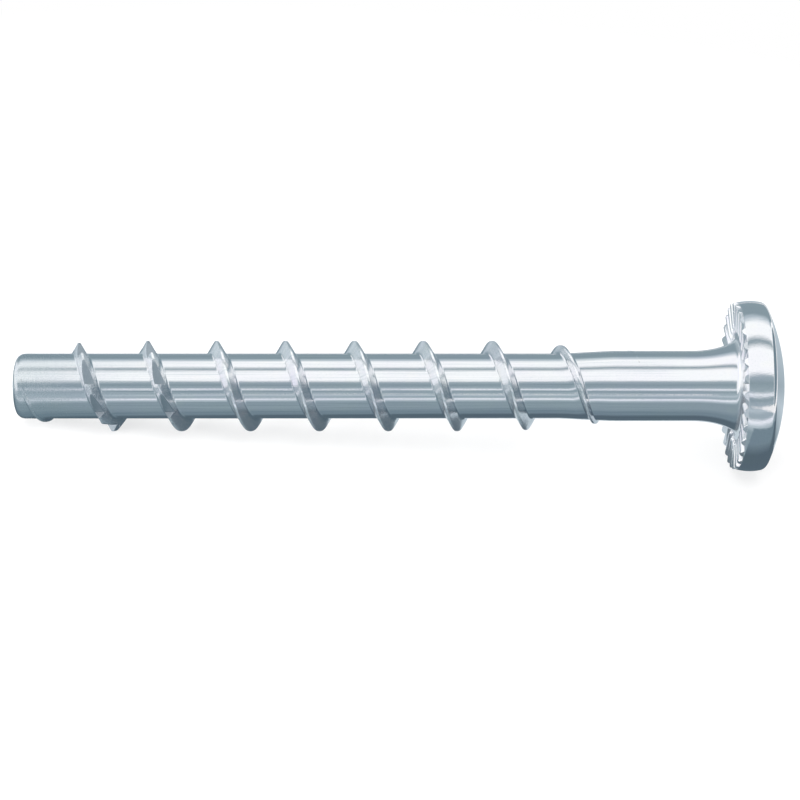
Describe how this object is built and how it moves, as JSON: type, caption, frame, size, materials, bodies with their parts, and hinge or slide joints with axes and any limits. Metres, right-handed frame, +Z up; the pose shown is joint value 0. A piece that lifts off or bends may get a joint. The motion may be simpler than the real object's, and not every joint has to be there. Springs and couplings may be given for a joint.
{
  "type": "concrete screw",
  "caption": "Pan-head concrete screw with locking ribs under the head, a lobed drive recess, a coarse right-hand thread and cutting teeth near the tip.",
  "frame": {"origin": "centre of the bounding box's base, on the surface that the screw lies on", "axes": "+Z up; +X along the screw's length from its tip to its head; the screw's own axis lies in the XZ plane and climbs about 3.8 degrees towards the head, because the screw rests on the rim of its head and on two neighbouring cutting teeth near its tip"},
  "size_m": [0.0642, 0.0142, 0.0143],
  "materials": {
    "zinc_plated_steel": "bright blue-white zinc plating on cold-formed, thread-rolled steel"
  },
  "bodies": {
    "root": {"concrete_screw": "zinc_plated_steel"}
  },
  "joints": []
}
